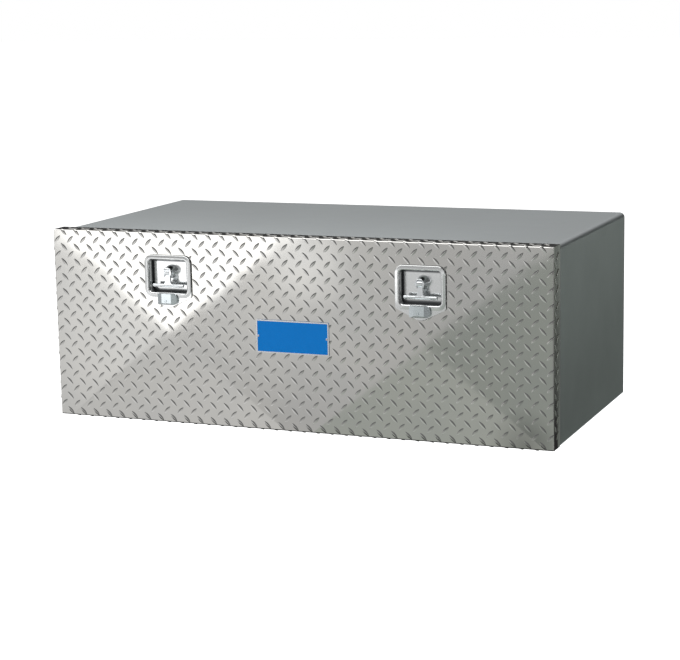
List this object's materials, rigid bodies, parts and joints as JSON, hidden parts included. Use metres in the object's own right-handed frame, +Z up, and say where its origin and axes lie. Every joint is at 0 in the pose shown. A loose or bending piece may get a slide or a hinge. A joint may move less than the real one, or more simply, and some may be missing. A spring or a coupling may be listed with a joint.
{
  "type": "underbody truck tool box",
  "caption": "Wide folded aluminium tool box with a drop-down tread plate door, two folding T-handle latches with cams and locks, and a blank plate between them.",
  "frame": {"origin": "middle of the cabinet's flat underside, midway between its sides and between its front edge and back", "axes": "+X across the box to the right as seen from the door, +Y from the door to the back, +Z up"},
  "size_m": [1.2192, 0.6566, 0.45],
  "materials": {
    "tread_plate": "bright polished tread plate with raised bars",
    "cabinet_sheet": "plain mill finish sheet, satin",
    "inner_sheet": "plain mill finish sheet, satin",
    "seal_rubber": "black extruded rubber",
    "blank_plate": "blue enamel on sheet metal with a bare edge",
    "polished_stainless": "polished pressed stainless steel",
    "bright_hardware": "bright plated casting",
    "bush_nylon": "moulded nylon",
    "rivet_metal": "drawn aluminium rivet",
    "hinge_steel": "rolled stainless hinge leaf",
    "zinc_steel": "zinc plated steel"
  },
  "bodies": {
    "cabinet": {"back_panel": "cabinet_sheet", "body_wrap": "cabinet_sheet", "door_seal": "seal_rubber", "floor_panel": "cabinet_sheet", "header": "cabinet_sheet", "hinge_pin": "hinge_steel", "hinge_sill_leaf": "hinge_steel", "left_jamb": "cabinet_sheet", "left_striker": "zinc_steel", "right_jamb": "cabinet_sheet", "right_striker": "zinc_steel", "sill": "cabinet_sheet", "sill_rivets": "rivet_metal", "striker_rivets": "rivet_metal"},
    "door": {"door_skin": "tread_plate", "door_inner_panel": "inner_sheet", "door_stiffeners": "inner_sheet", "hinge_door_leaf": "hinge_steel", "door_rivets": "rivet_metal", "nameplate": "blank_plate", "nameplate_rivets": "rivet_metal", "left_latch_pan": "polished_stainless", "left_latch_gasket": "seal_rubber", "left_backing_plate": "zinc_steel", "left_stud_nuts": "zinc_steel", "left_spindle_bush": "bush_nylon", "left_lock_housing": "bright_hardware", "left_lock_nut": "zinc_steel", "right_latch_pan": "polished_stainless", "right_latch_gasket": "seal_rubber", "right_backing_plate": "zinc_steel", "right_stud_nuts": "zinc_steel", "right_spindle_bush": "bush_nylon", "right_lock_housing": "bright_hardware", "right_lock_nut": "zinc_steel"},
    "left_spindle_set": {"left_spindle": "bright_hardware", "left_handle_pin": "zinc_steel", "left_cam": "zinc_steel", "left_cam_washer": "zinc_steel", "left_cam_nut": "zinc_steel"},
    "left_handle": {"left_t_handle": "bright_hardware"},
    "left_lock": {"left_lock_plug": "bright_hardware", "left_lock_blade": "zinc_steel"},
    "right_spindle_set": {"right_spindle": "bright_hardware", "right_handle_pin": "zinc_steel", "right_cam": "zinc_steel", "right_cam_washer": "zinc_steel", "right_cam_nut": "zinc_steel"},
    "right_handle": {"right_t_handle": "bright_hardware"},
    "right_lock": {"right_lock_plug": "bright_hardware", "right_lock_blade": "zinc_steel"}
  },
  "joints": [
    {"name": "door_hinge", "type": "hinge", "parent": "cabinet", "child": "door", "pos_m": [0, -0.29985, 0.00495], "axis": [1, 0, 0], "range_deg": [0, 98]},
    {"name": "left_handle_turn", "type": "hinge", "parent": "door", "child": "left_spindle_set", "pos_m": [-0.308, -0.3498, 0.358], "axis": [0, -1, 0], "range_deg": [0, 90]},
    {"name": "left_handle_fold", "type": "hinge", "parent": "left_spindle_set", "child": "left_handle", "pos_m": [-0.308, -0.3478, 0.358], "axis": [-1, 0, 0], "range_deg": [0, 90]},
    {"name": "left_lock_turn", "type": "hinge", "parent": "door", "child": "left_lock", "pos_m": [-0.308, -0.3498, 0.2935], "axis": [0, -1, 0], "range_deg": [0, 90]},
    {"name": "right_handle_turn", "type": "hinge", "parent": "door", "child": "right_spindle_set", "pos_m": [0.308, -0.3498, 0.358], "axis": [0, 1, 0], "range_deg": [0, 90]},
    {"name": "right_handle_fold", "type": "hinge", "parent": "right_spindle_set", "child": "right_handle", "pos_m": [0.308, -0.3478, 0.358], "axis": [-1, 0, 0], "range_deg": [0, 90]},
    {"name": "right_lock_turn", "type": "hinge", "parent": "door", "child": "right_lock", "pos_m": [0.308, -0.3498, 0.2935], "axis": [0, 1, 0], "range_deg": [0, 90]}
  ],
  "couplings": [
    {"joint": "left_handle_fold", "follows": "left_handle_turn", "ratio": 1},
    {"joint": "right_handle_fold", "follows": "right_handle_turn", "ratio": 1}
  ]
}
